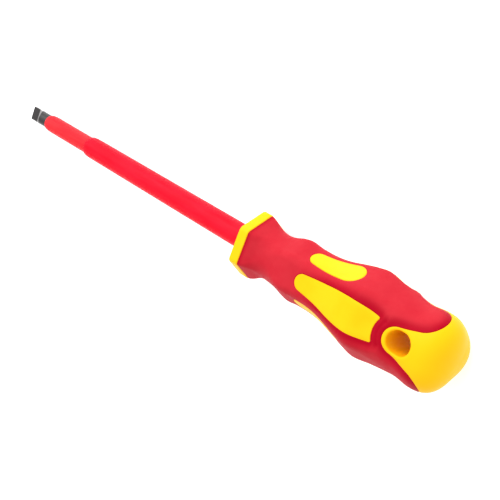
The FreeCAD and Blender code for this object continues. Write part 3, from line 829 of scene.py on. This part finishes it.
def yellow(name, base, light):
    """Smooth moulded yellow with slow changes of shade and a fine satin surface."""
    finish = Finish(name, Specular_IOR_Level=0.05)
    shade = finish.noise(110.0, 3.0, 0.5)
    pores = finish.noise(1700.0, 2.0, 0.6)
    finish.feed("Base Color", finish.mix(shade.between(0.3, 0.7), base, light))
    finish.feed("Roughness", 0.36 + pores * 0.1)
    finish.bump(pores, 0.00003, 0.3)
    return finish


panel_finish = yellow("yellow_panel_plastic", (0.93, 0.47, 0.004), (0.95, 0.5, 0.006))
# The pads and the guard ring take a lighter, greener yellow than the panels and the cap, though all
# are one plastic: painted light, for the lemon look that strong light gives them.
pad_finish = yellow("yellow_pad_plastic", (0.93, 0.5, 0.006), (0.95, 0.53, 0.01))
for number in range(3):
    face, lobe = FACE + number * THIRD, LOBE + number * THIRD
    panel = inlay(f"panel_plate_{number + 1}", both_sides(spaced(panel_line(), FINE), face),
                  np.array([PANEL_MIDDLE, face]), PANEL_PROUD)
    finished(panel, panel_finish, "panel_plastic", f"panel_{number + 1}")
    pad = inlay(f"finger_plate_{number + 1}", both_sides(spaced(pad_line(), FINE), lobe),
                np.array([PAD_MIDDLE, lobe]), PAD_PROUD)
    finished(pad, pad_finish, "pad_plastic", f"finger_pad_{number + 1}")

# ------------------------------------------------------------------ guard ring
# Hexagonal ring of yellow plastic in front of the grip, which keeps fingers off the shaft. Its
# corners and edges are rounded, and the shaft comes out through its middle.
RING_CORNER = 15.15                          # radius at a corner
RING_SHARE = 0.83                            # of that radius, out to the centre of the corner's arc
RING_BACK = COLLAR_BACK - 0.03
RING_BORE = THICK_RADIUS + 0.03
RING_EDGE = 0.5                              # radius of its outer edges


def ring_rows():
    """Closed rows of the ring, from the bore at the back round its outside and back to the bore.

    Each row is a distance behind the front face and a radius, which is the rounded hexagon's or one
    all round: a quarter circle at each outer edge, a flat face, and a small break at the bore.
    """
    around = np.linspace(0, 2 * math.pi, 360, endpoint=False)
    full = rounded_hexagon(RING_CORNER, RING_SHARE, around)
    face = 0.75 * full + 1
    turn = np.linspace(0, math.pi / 2, 7)
    sides, ends = RING_EDGE * (1 - np.sin(turn)), RING_EDGE * (1 - np.cos(turn))
    rows = [
        (RING_BACK, RING_BORE), *((RING_BACK - end, full - side) for side, end in zip(sides, ends)),
        *((side, full - end) for side, end in zip(sides, ends)), (0.0, face),
        (0.0, RING_BORE + 0.5), (0.2, RING_BORE + 0.1), (0.4, RING_BORE), (RING_BACK, RING_BORE)]
    return np.stack([
        np.stack(np.broadcast_arrays(-back, -radius * np.sin(around), radius * np.cos(around)), axis=1)
        for back, radius in rows])


ring = surface("guard_ring_hex", ring_rows(), wrap=True)
# The guard ring's lighter, greener yellow is painted light, the same as the pads'.
finished(ring, yellow("yellow_guard_plastic", (0.93, 0.5, 0.006), (0.95, 0.53, 0.01)),
         "guard_plastic", "guard_ring")

# ------------------------------------------------------------------ hidden core
# The hard core and the insert round the blade's tail stay as designed: they lie inside the skin and
# show only through the smallest gaps, so they carry plain moulded plastic.
for node, base in (("core_insert", (0.6, 0.58, 0.52)), ("handle_core", (0.93, 0.47, 0.004))):
    core = yellow(node + "_finish", base, tuple(0.9 * level for level in base))
    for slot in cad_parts[node].material_slots:
        slot.material = core.material

# ------------------------------------------------------------------ floor, light and camera
# The tool lies on a white table: the guard and the swell of the handle touch it, so the table leans
# by a few degrees in the tool's own frame. One wide soft light in a white room, and a view from above.
TABLE_HALF = 3000.0
TABLE_CLEAR = 0.2                            # kept free under the tool
SWELL_FLAT = 0.92                            # of the swell's corner radius, down to its flat
swell_back, swell_radius = max(VERTEX_RADIUS, key=lambda point: point[1])
low_front = -RING_CORNER * math.cos(math.pi / 6)
low_back = -SWELL_FLAT * swell_radius
slope = (low_front - low_back) / swell_back
table = TABLE_HALF * np.array([(-1, -1), (1, -1), (1, 1), (-1, 1)])
heights = low_back + (table[:, 0] + swell_back) * slope - TABLE_CLEAR
floor_mesh = bpy.data.meshes.new("table_top")
floor_mesh.from_pydata((np.column_stack([table, heights]) * MM).tolist(), [], [(0, 1, 2, 3)])
floor = bpy.data.objects.new("table_top", floor_mesh)
bpy.context.scene.collection.objects.link(floor)
white = Finish("white_table", Roughness=0.9, Specular_IOR_Level=0.1, Emission_Strength=0.35)
shade = white.noise(2.0)
white.feed("Emission Color", white.mix(shade, (1.0, 1.0, 1.0), (0.97, 0.97, 0.97)))
white.feed("Base Color", white.mix(shade, (0.93, 0.93, 0.93), (0.95, 0.95, 0.95)))
floor.data.materials.append(white.material)

world = bpy.data.worlds.new("studio")
bpy.context.scene.world = world
world.use_nodes = True
room = world.node_tree.nodes["Background"].inputs
room["Color"].default_value = (1, 1, 1, 1)
room["Strength"].default_value = 0.95

lamp = bpy.data.objects.new("key", bpy.data.lights.new("key", "AREA"))
lamp.data.size = 1.2
lamp.data.energy = 14.0
lamp.location = (0.3, -0.6, 0.9)
handle_middle = Vector((-0.03, 0, 0))
lamp.rotation_euler = (handle_middle - lamp.location).to_track_quat("-Z", "Y").to_euler()
bpy.context.scene.collection.objects.link(lamp)

# The camera stands above and behind the handle and looks towards the tip, rolled so that the blade
# points up and to the left.
camera = bpy.data.objects.new("camera", bpy.data.cameras.new("camera"))
camera.data.sensor_width = 36
camera.data.lens = 86.4
camera.data.clip_start = 0.01
stand = Vector((-0.27274, -0.14196, 0.42428))
forward = Vector((0.51938, 0.27710, -0.80837)).normalized()
right = forward.cross(Vector((0.43976, -0.89776, -0.02519))).normalized()
axes = Matrix((right, right.cross(forward), -forward)).transposed()
camera.matrix_world = Matrix.Translation(stand) @ axes.to_4x4()
bpy.context.scene.collection.objects.link(camera)
bpy.context.scene.camera = camera
bpy.context.scene.view_settings.view_transform = "Standard"
